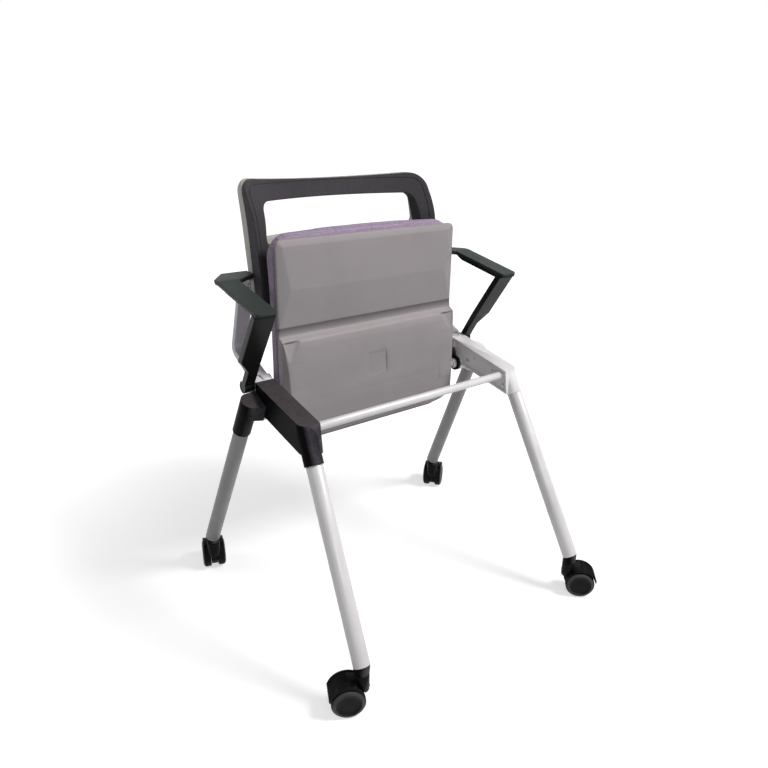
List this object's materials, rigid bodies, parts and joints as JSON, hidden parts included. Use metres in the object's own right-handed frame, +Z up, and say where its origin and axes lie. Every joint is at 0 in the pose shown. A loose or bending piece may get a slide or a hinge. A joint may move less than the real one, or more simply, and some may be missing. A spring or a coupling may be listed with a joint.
{
  "type": "nesting chair",
  "caption": "Nesting office chair with flip-up upholstered seat, curved back with grab opening and mesh, armrests and twin-wheel casters on splayed tube legs.",
  "frame": {"origin": "on the floor, midway between the four legs", "axes": "+Z up; the sitter faces -Y; +X is the side at the right of a view from the front"},
  "size_m": [0.7126, 0.6216, 0.8379],
  "materials": {
    "silver_paint": "satin",
    "cast_paint": "satin",
    "bar_paint": "satin",
    "black_plastic": "fine grain",
    "arm_black": "satin",
    "arm_soft": "matte",
    "grey_plastic": "fine grain",
    "lilac_knit": "matte knit",
    "dark_mesh": "open weave",
    "screw_steel": "satin",
    "board_ply": "raw",
    "wheel_black": "satin"
  },
  "bodies": {
    "frame": {"side_beam_left": "cast_paint", "side_beam_right": "cast_paint", "beam_cover_left": "black_plastic", "rear_sleeve_left": "black_plastic", "front_leg_left": "silver_paint", "front_leg_right": "silver_paint", "rear_leg_left": "silver_paint", "rear_leg_right": "silver_paint", "leg_plugs": "black_plastic", "caster_stems": "screw_steel", "front_cross_tube": "silver_paint", "pivot_tube": "silver_paint", "pivot_collars": "silver_paint", "hinge_cheek_left": "black_plastic", "hinge_cheek_right": "black_plastic", "back_upright_left": "bar_paint", "back_upright_right": "bar_paint", "back_shell": "grey_plastic", "back_frame": "black_plastic", "back_mesh": "dark_mesh", "back_screws": "screw_steel", "armrest_left": "arm_black", "armrest_right": "arm_black", "arm_pad_left": "arm_soft", "arm_pad_right": "arm_soft", "arm_bolts": "arm_black", "beam_screws": "screw_steel"},
    "seat": {"seat_shell": "grey_plastic", "seat_board": "board_ply", "seat_cushion": "lilac_knit", "seat_screws": "screw_steel"},
    "caster_front_left": {"caster_hood_front_left": "black_plastic", "caster_axle_front_left": "screw_steel"},
    "wheel_front_left_a": {"caster_wheel_front_left_a": "wheel_black"},
    "wheel_front_left_b": {"caster_wheel_front_left_b": "wheel_black"},
    "caster_front_right": {"caster_hood_front_right": "black_plastic", "caster_axle_front_right": "screw_steel"},
    "wheel_front_right_a": {"caster_wheel_front_right_a": "wheel_black"},
    "wheel_front_right_b": {"caster_wheel_front_right_b": "wheel_black"},
    "caster_rear_left": {"caster_hood_rear_left": "black_plastic", "caster_axle_rear_left": "screw_steel"},
    "wheel_rear_left_a": {"caster_wheel_rear_left_a": "wheel_black"},
    "wheel_rear_left_b": {"caster_wheel_rear_left_b": "wheel_black"},
    "caster_rear_right": {"caster_hood_rear_right": "black_plastic", "caster_axle_rear_right": "screw_steel"},
    "wheel_rear_right_a": {"caster_wheel_rear_right_a": "wheel_black"},
    "wheel_rear_right_b": {"caster_wheel_rear_right_b": "wheel_black"}
  },
  "joints": [
    {"name": "seat_flip", "type": "hinge", "parent": "frame", "child": "seat", "pos_m": [0, 0.088, 0.432], "axis": [1, 0, 0], "range_deg": [0, 88]},
    {"name": "caster_front_left_swivel", "type": "hinge", "parent": "frame", "child": "caster_front_left", "pos_m": [-0.269, -0.252, 0.06], "axis": [0, 0, 1], "continuous": true},
    {"name": "wheel_front_left_a_spin", "type": "hinge", "parent": "caster_front_left", "child": "wheel_front_left_a", "pos_m": [-0.29147, -0.24104, 0.03], "axis": [-0.4384, -0.8988, 0], "continuous": true},
    {"name": "wheel_front_left_b_spin", "type": "hinge", "parent": "caster_front_left", "child": "wheel_front_left_b", "pos_m": [-0.29147, -0.24104, 0.03], "axis": [-0.4384, -0.8988, 0], "continuous": true},
    {"name": "caster_front_right_swivel", "type": "hinge", "parent": "frame", "child": "caster_front_right", "pos_m": [0.269, -0.252, 0.06], "axis": [0, 0, 1], "continuous": true},
    {"name": "wheel_front_right_a_spin", "type": "hinge", "parent": "caster_front_right", "child": "wheel_front_right_a", "pos_m": [0.28728, -0.26905, 0.03], "axis": [0.682, 0.7314, 0], "continuous": true},
    {"name": "wheel_front_right_b_spin", "type": "hinge", "parent": "caster_front_right", "child": "wheel_front_right_b", "pos_m": [0.28728, -0.26905, 0.03], "axis": [0.682, 0.7314, 0], "continuous": true},
    {"name": "caster_rear_left_swivel", "type": "hinge", "parent": "frame", "child": "caster_rear_left", "pos_m": [-0.316, 0.252, 0.06], "axis": [0, 0, 1], "continuous": true},
    {"name": "wheel_rear_left_a_spin", "type": "hinge", "parent": "caster_rear_left", "child": "wheel_rear_left_a", "pos_m": [-0.30786, 0.27564, 0.03], "axis": [-0.9455, 0.3256, 0], "continuous": true},
    {"name": "wheel_rear_left_b_spin", "type": "hinge", "parent": "caster_rear_left", "child": "wheel_rear_left_b", "pos_m": [-0.30786, 0.27564, 0.03], "axis": [-0.9455, 0.3256, 0], "continuous": true},
    {"name": "caster_rear_right_swivel", "type": "hinge", "parent": "frame", "child": "caster_rear_right", "pos_m": [0.316, 0.252, 0.06], "axis": [0, 0, 1], "continuous": true},
    {"name": "wheel_rear_right_a_spin", "type": "hinge", "parent": "caster_rear_right", "child": "wheel_rear_right_a", "pos_m": [0.33458, 0.26873, 0.03], "axis": [-0.6691, 0.7431, 0], "continuous": true},
    {"name": "wheel_rear_right_b_spin", "type": "hinge", "parent": "caster_rear_right", "child": "wheel_rear_right_b", "pos_m": [0.33458, 0.26873, 0.03], "axis": [-0.6691, 0.7431, 0], "continuous": true}
  ]
}
